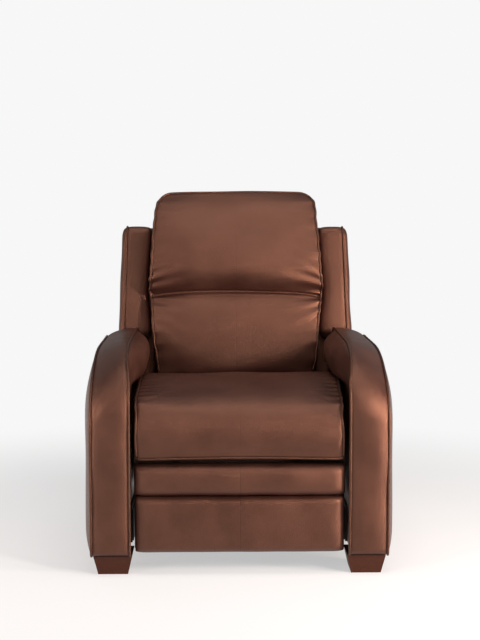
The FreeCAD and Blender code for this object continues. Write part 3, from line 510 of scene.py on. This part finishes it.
def writePoints(mesh, points):
    mesh.vertices.foreach_set("co", points.ravel())
    mesh.update()


def applied(piece, kind, **settings):
    # one modifier with its settings, put on and applied at once
    bpy.context.view_layer.objects.active = piece
    added = piece.modifiers.new(kind.lower(), kind)
    for key, value in settings.items():
        setattr(added, key, value)
    bpy.ops.object.modifier_apply(modifier=added.name)


def evened(piece, voxel):
    applied(piece, "REMESH", mode="VOXEL", voxel_size=voxel, use_smooth_shade=True)


def inflated(piece, voxel, cap, pinned):
    # cloth with air in it: seams stay where pinned says, and no point moves further than cap.
    evened(piece, voxel)
    start = readPoints(piece.data)
    held = pinned(start)
    group = piece.vertex_groups.new(name="seams")
    for level in (0.25, 0.5, 0.75, 1.0):
        chosen = np.nonzero((held > level - 0.25) & (held <= level))[0]
        group.add(chosen.tolist(), level, "REPLACE")
    cloth = piece.modifiers.new("filling", "CLOTH")
    cloth.settings.use_pressure = True
    cloth.settings.uniform_pressure_force = filling["pressure"]
    cloth.settings.effector_weights.gravity = 0
    cloth.settings.quality = filling["quality"]
    cloth.settings.tension_stiffness = cloth.settings.compression_stiffness = filling["stiffness"]
    cloth.settings.vertex_group_mass = group.name
    cloth.point_cache.frame_start, cloth.point_cache.frame_end = 1, filling["frames"]
    for number in range(1, filling["frames"] + 1):
        bpy.context.scene.frame_set(number)
    moved = readPoints(piece.evaluated_get(bpy.context.evaluated_depsgraph_get()).data)
    piece.modifiers.remove(cloth)
    piece.vertex_groups.remove(group)
    bpy.context.scene.frame_set(1)
    shift = moved - start
    length = np.linalg.norm(shift, axis=1, keepdims=True)
    return start + shift * np.minimum(1, cap / np.maximum(length, 1e-6))


def finishPadded(piece, coords):
    writePoints(piece.data, coords)
    applied(piece, "SMOOTH", factor=0.5, iterations=4)
    applied(piece, "SUBSURF", levels=1, render_levels=1)
    piece.data.polygons.foreach_set("use_smooth", np.ones(len(piece.data.polygons), dtype=bool))


def reshape(piece, move):
    # a last touch: move takes all points and normals and gives the new points
    mesh = piece.data
    writePoints(mesh, move(readPoints(mesh), readPoints(mesh, "normal")))


# seat cushion

seat = {"half": 0.281, "front": -0.4555, "lip": 0.310, "lipIn": 0.006, "noseTop": 0.462, "noseIn": 0.042,
        "noseBelly": 0.004, "crown": 0.500, "chord": 0.448, "rear": 0.108, "rearTop": 0.438, "low": 0.329,
        "lipBack": -0.398, "edge": 0.012, "welt": 0.0036, "cap": 0.024, "voxel": 0.006}


def seatOutline():
    # the side outline (y, z): up the waterfall front, over the crown as a parabola, down the rear and home
    nose = np.linspace(0, 1, 40, endpoint=False)
    frontY = seat["front"] + seat["lipIn"] * (1 - nose) ** 2 - seat["noseBelly"] * np.sin(math.pi * nose) + \
        seat["noseIn"] * nose ** 5
    frontZ = seat["lip"] + (seat["noseTop"] - seat["lip"]) * nose ** 0.95
    over = np.linspace(0, 1, 70, endpoint=False)
    overY = (seat["front"] + seat["noseIn"]) + over * (seat["rear"] - seat["front"] - seat["noseIn"])
    overZ = seat["noseTop"] * (1 - over) + seat["rearTop"] * over + \
        4 * (seat["crown"] - seat["chord"]) * over * (1 - over)
    tail = [(seat["rear"], seat["rearTop"]), (seat["rear"], seat["low"]), (seat["lipBack"], seat["low"]),
            (seat["lipBack"], seat["lip"]), (seat["front"] + seat["lipIn"], seat["lip"])]
    legs = [np.linspace(p, q, n, endpoint=False) for p, q, n in zip(tail, tail[1:], (16, 60, 6, 12))]
    loop = np.concatenate([np.stack([frontY, frontZ], 1), np.stack([overY, overZ], 1), *legs])
    return sum(np.roll(loop, k, axis=0) for k in (-2, -1, 0, 1, 2)) / 5


def seatForm():
    # the outline carried across x; its last 12 mm at each side shrink by a quarter circle, then to the middle
    loop = seatOutline()
    heart = np.array([-0.18, 0.395])
    turn = np.linspace(0, math.pi / 2, 6)
    e = seat["edge"]
    caps = [(seat["half"] - e + e * math.sin(a), 1 - e / 0.10 * (1 - math.cos(a))) for a in turn]
    caps += [(seat["half"], k) for k in (0.6, 0.3, 0.0)]
    across = [(-x, k) for x, k in caps[::-1]] + [(x, 1.0) for x in np.linspace(-0.24, 0.24, 12)] + caps
    xs = np.array([x for x, _ in across])
    size = np.array([k for _, k in across])
    yz = heart + (loop - heart) * size[:, None, None]
    x = np.broadcast_to(xs[:, None], yz.shape[:2])
    return np.stack([x, yz[..., 0], yz[..., 1]], axis=-1)


def seatPins(p):
    # held along the two side seams and the lower front seam, under the foam and at its rear
    away = np.full(len(p), 9.0)
    for y, z in seatOutline()[:118]:
        away = np.minimum(away, np.hypot(p[:, 1] - y, p[:, 2] - z))
    sideSeam = (np.abs(np.abs(p[:, 0]) - seat["half"]) < 0.013) & (away < 0.010)
    frontSeam = (p[:, 2] < seat["lip"] + 0.008)
    under = (p[:, 2] < seat["low"] + 0.004) | (p[:, 1] > seat["rear"] - 0.012)
    return (sideSeam | frontSeam | under).astype(float)


seatCushion = surface("seat_cushion_leather", seatForm(), hideFaintSeam)
finishPadded(seatCushion, inflated(seatCushion, seat["voxel"], seat["cap"], seatPins))


def seatTouch(p, n):
    # small pulls 34 mm apart beside the side seams, dying away over 30 mm, and a faint unevenness
    beside = np.exp(-(seat["half"] - np.abs(p[:, 0])) / 0.03) * softStep(p[:, 2], 0.34, 0.38)
    pull = 0.0016 * beside * np.sin(p[:, 1] * 2 * math.pi / 0.034 + 3 * np.sin(p[:, 1] * 19))
    return p + n * (pull + ripple(p, 11, 0.19, 0.0022) * softStep(p[:, 2], 0.33, 0.36))[:, None]


reshape(seatCushion, seatTouch)
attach(seatCushion, "seat")
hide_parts("seat_cushion")
edgeLine = seatOutline()[2:116]
for side, word in ((-1, "left"), (1, "right")):
    path = np.stack([np.full(len(edgeLine), side * (seat["half"] + 0.001)), edgeLine[:, 0], edgeLine[:, 1]], 1)
    line = hugged(resample(path, 160), seatCushion, 0.0014)
    welt = tube(f"seat_welt_{word}", line, seat["welt"], np.array([1.0, 0, 0]), weltHidePaintedShade)
    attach(welt, "seat")
s = np.linspace(-1, 1, 90)
lip = np.stack([s * (seat["half"] + 0.001), np.full(90, seat["front"] + 0.004),
                seat["lip"] + 0.001 + 0.007 * (1 - s ** 2)], 1)
welt = tube("seat_welt_front", hugged(lip, seatCushion, 0.0014), seat["welt"], np.array([0, 1.0, 0]), weltHidePaintedShade)
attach(welt, "seat")
print("seat made")

# back cushion: lumbar roll and headrest pillow in one cover

back = {"low": 0.150, "top": 0.724, "round": 0.052, "rear": -0.025, "crease": 0.400, "edge": 0.012,
        "cap": 0.020, "lid": 0.03, "welt": 0.0036, "voxel": 0.0055}
# half the width, and the front's y, each beside its height z, in the back's own frame
backWidth = np.array([[0.150, 0.240], [0.230, 0.248], [0.300, 0.254], [0.330, 0.257], [0.385, 0.263],
                      [0.415, 0.266], [0.450, 0.264], [0.560, 0.256], [0.660, 0.248], [0.724, 0.246]])
backFront = np.array([[0.150, -0.096], [0.200, -0.112], [0.280, -0.120], [0.350, -0.116], [0.392, -0.100],
                      [0.400, -0.084], [0.408, -0.104], [0.430, -0.130], [0.470, -0.148], [0.520, -0.147],
                      [0.600, -0.133], [0.660, -0.116], [0.700, -0.097], [0.724, -0.074]])


def smoothLine(table, z):
    # the table's straight runs, averaged over 24 mm
    shifts = np.linspace(-0.012, 0.012, 9)
    return np.mean([np.interp(z + d, table[:, 0], table[:, 1]) for d in shifts], axis=0)


def backHalfWidth(z):
    # the width table, narrowed over the last stretch by a circle of the corner's radius
    r = back["round"]
    over = np.clip(z - (back["top"] - r), 0, r)
    return smoothLine(backWidth, z) - (r - np.sqrt(np.maximum(r * r - over * over, 0)))


def backForm():
    # level rings up the back: a crowned front, y = edge + (front - edge) * (1 - |s|^3), square sides and a flat
    # rear
    z = np.concatenate([[back["low"]] * 2, np.linspace(back["low"], back["top"] - back["lid"], 110),
                        back["top"] - back["lid"] + back["lid"] * np.sin(np.linspace(0.1, math.pi / 2, 12)),
                        [back["top"]]])
    width = np.maximum(backHalfWidth(np.minimum(z, back["top"] - 0.0004)), 0.001)
    front = smoothLine(backFront, z)
    rear = np.full_like(z, back["rear"])
    s = np.linspace(-1, 1, 60)
    edge = np.minimum(front + back["edge"], rear - 0.006)
    faceY = edge[:, None] + (front - edge)[:, None] * (1 - np.abs(s)[None] ** 3.0)
    faceX = width[:, None] * s[None]
    g = np.linspace(0, 1, 10)[1:-1]
    rightY = edge[:, None] + (rear - edge)[:, None] * g[None]
    rightX = np.repeat(width[:, None], len(g), axis=1)
    q = np.linspace(1, -1, 24)
    rearX = width[:, None] * q[None]
    rearY = np.repeat(rear[:, None], len(q), axis=1)
    x = np.concatenate([faceX, rightX, rearX, -rightX], axis=1)
    y = np.concatenate([faceY, rightY, rearY, rightY[:, ::-1]], axis=1)
    shrink = np.ones(len(z))
    shrink[[0, -1]] = 0
    middle = (edge + rear) / 2
    x = x * shrink[:, None]
    y = middle[:, None] + (y - middle[:, None]) * shrink[:, None]
    return np.stack([x, y, np.repeat(z[:, None], x.shape[1], axis=1)], axis=-1)


def backPins(p):
    # held at the front edge seam all round, along the crease and against the springs
    q = toBack(p)
    width = backHalfWidth(np.clip(q[:, 2], back["low"], back["top"] - 0.0004))
    front = smoothLine(backFront, q[:, 2])
    nearEdge = (width - np.abs(q[:, 0]) < 0.010) & (np.abs(q[:, 1] - (front + back["edge"])) < 0.012)
    topEdge = (q[:, 2] > back["top"] - 0.006) & (q[:, 1] < -0.060)
    inCrease = (np.abs(q[:, 2] - back["crease"]) < 0.007) & (q[:, 1] < -0.05)
    return (nearEdge | topEdge | inCrease | (q[:, 1] > back["rear"] - 0.008)).astype(float)


backCushion = surface("back_cushion_leather", fromBack(backForm()), hideFaintSeam)
finishPadded(backCushion, inflated(backCushion, back["voxel"], back["cap"], backPins))


def backTouch(p, n):
    # the crease's own groove, folds that fan in from both its ends, and short pulls beside the edge seams
    q = toBack(p)
    onFront = softStep(-q[:, 1], 0.05, 0.09)
    side = np.abs(q[:, 0])
    fan = np.clip((side - 0.12) / 0.15, 0, 1) ** 1.5 * onFront
    ray = np.arctan2(q[:, 2] - back["crease"], 0.40 - side)
    folds = 0.0042 * fan * np.sin(ray * 34 + 2 * np.sign(q[:, 0])) * np.exp(-(ray / 0.42) ** 2)
    sag = back["crease"] + 0.004 - 0.010 * np.clip(side / 0.26, 0, 1) ** 3
    groove = 0.009 * np.exp(-((q[:, 2] - sag) / 0.0042) ** 2) * onFront
    width = backHalfWidth(np.clip(q[:, 2], back["low"], back["top"] - 0.0004))
    beside = np.exp(-np.abs(width - side) / 0.028) * onFront
    pull = 0.0013 * beside * np.sin(q[:, 2] * 2 * math.pi / 0.037 + 2.5 * np.sin(q[:, 2] * 17))
    return p + n * (folds + pull - groove + ripple(p, 21, 0.17, 0.0026) * onFront)[:, None]


reshape(backCushion, backTouch)
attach(backCushion, "back")
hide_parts("back_cushion")


def backWeltPath():
    # up one side, round the corner, along the top and down the other side, on the front edge seam
    z = np.concatenate([np.linspace(back["low"] + 0.01, back["top"] - back["round"], 90),
                        back["top"] - back["round"] + back["round"] * np.sin(np.linspace(0.02, 1.5, 26))])
    z = np.minimum(z, back["top"] - 0.0006)
    x = backHalfWidth(z)
    y = smoothLine(backFront, z) + 0.010
    half = np.stack([x + 0.0026, y - 0.001, z + 0.0026 * softStep(z, back["top"] - 0.06, back["top"])], axis=1)
    return np.concatenate([half * np.array([-1, 1, 1]), half[::-1]])


path = hugged(resample(fromBack(backWeltPath()), 420), backCushion, 0.0012)
welt = tube("back_welt", path, back["welt"], fromBack(np.array([0, 1.0, 0])) - backHinge, weltHidePaintedShade)
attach(welt, "back")
print("back made")

# wings, headrest block and rear cover: the plain shapes of the frame, softened


def softCopy(name, nodeNames, voxel, rounds, puff, material):
    # merged copies of plain solids, stood upright and evened to small squares, their edges eased by averaging,
    # then their faces swollen by puff, less where the averaging moved them and not at all from 2 mm on
    bm = bmesh.new()
    for nodeName in nodeNames:
        bm.from_mesh(frame["nodes"][nodeName].data)
    bmesh.ops.remove_doubles(bm, verts=bm.verts, dist=2e-5)
    bmesh.ops.recalc_face_normals(bm, faces=bm.faces)
    mesh = bpy.data.meshes.new(name)
    bm.to_mesh(mesh)
    bm.free()
    mesh.materials.append(material)
    piece = bpy.data.objects.new(name, mesh)
    bpy.context.scene.collection.objects.link(piece)
    reshape(piece, lambda p, n: toBack(p))
    evened(piece, voxel)
    square = readPoints(piece.data)
    applied(piece, "SMOOTH", factor=0.5, iterations=rounds)
    drawn = np.linalg.norm(readPoints(piece.data) - square, axis=1)

    def swell(p, n):
        # the unevenness takes the length of the name as its seed
        amount = puff * np.clip(1 - drawn / 0.002, 0, 1)
        return p + n * (amount + ripple(p, len(name), 0.15, 0.0016))[:, None]

    reshape(piece, swell)
    applied(piece, "SMOOTH", factor=0.5, iterations=6)
    reshape(piece, lambda p, n: fromBack(p))
    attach(piece, "back")
    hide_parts(*nodeNames)
    return piece


wing = {"inner": 0.279, "outer": 0.352, "front": -0.050, "rear": 0.145, "low": 0.270, "high": 0.620,
        "seamIn": 0.013, "welt": 0.0034, "flare": 0.009}


def wingShape(q):
    # the outer side spreads by flare towards the foot, and the inner side, ahead of the frame, closes up to
    # 9 mm from the cushion's edge
    x = np.abs(q[:, 0])
    h = np.clip((q[:, 2] - wing["low"]) / (wing["high"] - wing["low"]), 0, 1)
    outward = wing["flare"] * (1 - h) * softStep(x, 0.30, 0.34)
    room = np.clip(wing["inner"] - backHalfWidth(np.clip(q[:, 2], 0.3, 0.66)) - 0.009, 0, 0.03)
    inward = room * (1 - softStep(x, 0.283, 0.32)) * softStep(-q[:, 1], 0.022, 0.034)
    made = q.copy()
    made[:, 0] += np.sign(q[:, 0]) * (outward - inward)
    return made


for side, word in ((-1, "left"), (1, "right")):
    piece = softCopy(f"wing_{word}", [f"back_wing_{word}"], 0.006, 6, 0.004, hide)
    reshape(piece, lambda p, n: fromBack(wingShape(toBack(p))))
    # the welt follows the outer front edge from bottom to top, then the top's outer edge to the rear
    r = wing["seamIn"]
    x, y, z = wing["outer"] - r, wing["front"] - 0.003, wing["high"]
    up = np.array([[x, y, high] for high in np.linspace(wing["low"] + 0.004, z - r, 60)])
    turn = np.linspace(0, math.pi / 2, 10)
    bend = np.stack([np.full(10, x), y + r * (1 - np.cos(turn)), z - r + (r + 0.002) * np.sin(turn)], 1)
    run = np.array([[x, far, z + 0.002] for far in np.linspace(wing["front"] + r + 0.006, wing["rear"], 30)])
    line = wingShape(resample(np.concatenate([up, bend, run]) * np.array([side, 1, 1]), 160))
    welt = tube(f"wing_welt_{word}", hugged(fromBack(line), piece, 0.0012), wing["welt"],
                np.array([1.0, 0, 0]), weltHidePaintedShade)
    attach(welt, "back")

sideNodes = ["back_side_blocks", "back_post_left", "back_post_right"]
sideCover = softCopy("back_sides", sideNodes, 0.005, 4, 0.003, hide)


def narrowTop(q):
    # above the wings the sides, 272 mm from the middle, close in to 6 mm behind the cushion's edge
    half = 0.272
    limit = backHalfWidth(np.clip(q[:, 2], 0.60, 0.668)) - 0.006
    share = softStep(q[:, 2], 0.585, 0.630) * (np.abs(q[:, 0]) < 0.30)
    made = q.copy()
    made[:, 0] *= 1 - share * (1 - np.minimum(limit / half, 1))
    return made


block = softCopy("headrest_back", ["headrest_block"], 0.007, 8, 0.003, hide)
reshape(block, lambda p, n: fromBack(narrowTop(toBack(p))))
rearCover = softCopy("rear_cover", ["back_rear_panel"], 0.005, 3, 0.004, hide)
reshape(rearCover, lambda p, n: fromBack(narrowTop(toBack(p))))
print("wings and rear cover made")

# footrest: an upper roll and a lower panel over one board

rest = {"half": 0.281, "front": -0.458, "rear": -0.4160, "low": 0.060, "crease": 0.214, "high": 0.2975,
        "round": 0.019, "sideFall": 0.016}


def footrestPad(low, high, half, crown, seed):
    # level rings: a front crowned as 1 - |s|^8, s from -1 to 1 across it, whose sides fall back by
    # sideFall * |s|^26, rolled in by a quarter circle at the top and the bottom, and a flat rear
    r = rest["round"]
    turn = np.linspace(0, math.pi / 2, 12)
    level = np.linspace(low + r, high - r, 30)[1:-1]
    z = np.concatenate([low + r - r * np.cos(turn), level, high - r + r * np.sin(turn)])
    drop = np.concatenate([r * (1 - np.sin(turn)), np.zeros(len(level)), r * (1 - np.cos(turn))])
    h = (z - low) / (high - low)
    swell = crown * (1 - np.abs(2 * h - 1) ** 2.4)
    s = np.linspace(-1, 1, 100)
    frontY = rest["front"] + drop[:, None] - swell[:, None] * (1 - np.abs(s)[None] ** 8) + \
        rest["sideFall"] * np.abs(s)[None] ** 26
    x = half * s[None] * np.ones_like(frontY)
    face = np.stack([x, frontY, np.repeat(z[:, None], len(s), axis=1)], axis=-1)
    face[..., 1] += ripple(face, seed, 0.13, 0.0011)
    q = np.linspace(1, -1, 60)
    rearFace = np.stack([half * q[None] * np.ones((len(z), 1)), np.full((len(z), len(q)), rest["rear"]),
                         np.repeat(z[:, None], len(q), axis=1)], axis=-1)
    ring = np.concatenate([face, rearFace], axis=1)
    ends = []
    for k in (0, -1):
        middle = ring[k].copy()
        middle[:, 1] = rest["rear"] - 0.012
        middle[:, 0] *= 0.9
        ends.append(middle[None])
    return np.concatenate([ends[0], ring, ends[1]])


rollForm = footrestPad(rest["crease"] + 0.0006, rest["high"], rest["half"] + 0.002, 0.010, 31)
panelForm = footrestPad(rest["low"], rest["crease"] - 0.0006, rest["half"], 0.006, 32)
upper = surface("footrest_roll", rollForm, hideSeamed, fillEnds=True)
lower = surface("footrest_panel", panelForm, hideSeamed, fillEnds=True)
for piece, nodeName in ((upper, "footrest_upper_roll"), (lower, "footrest_lower_pad")):
    finer = piece.modifiers.new("finer", "SUBSURF")
    finer.levels = finer.render_levels = 1
    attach(piece, "footrest")
    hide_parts(nodeName)
print("footrest made")
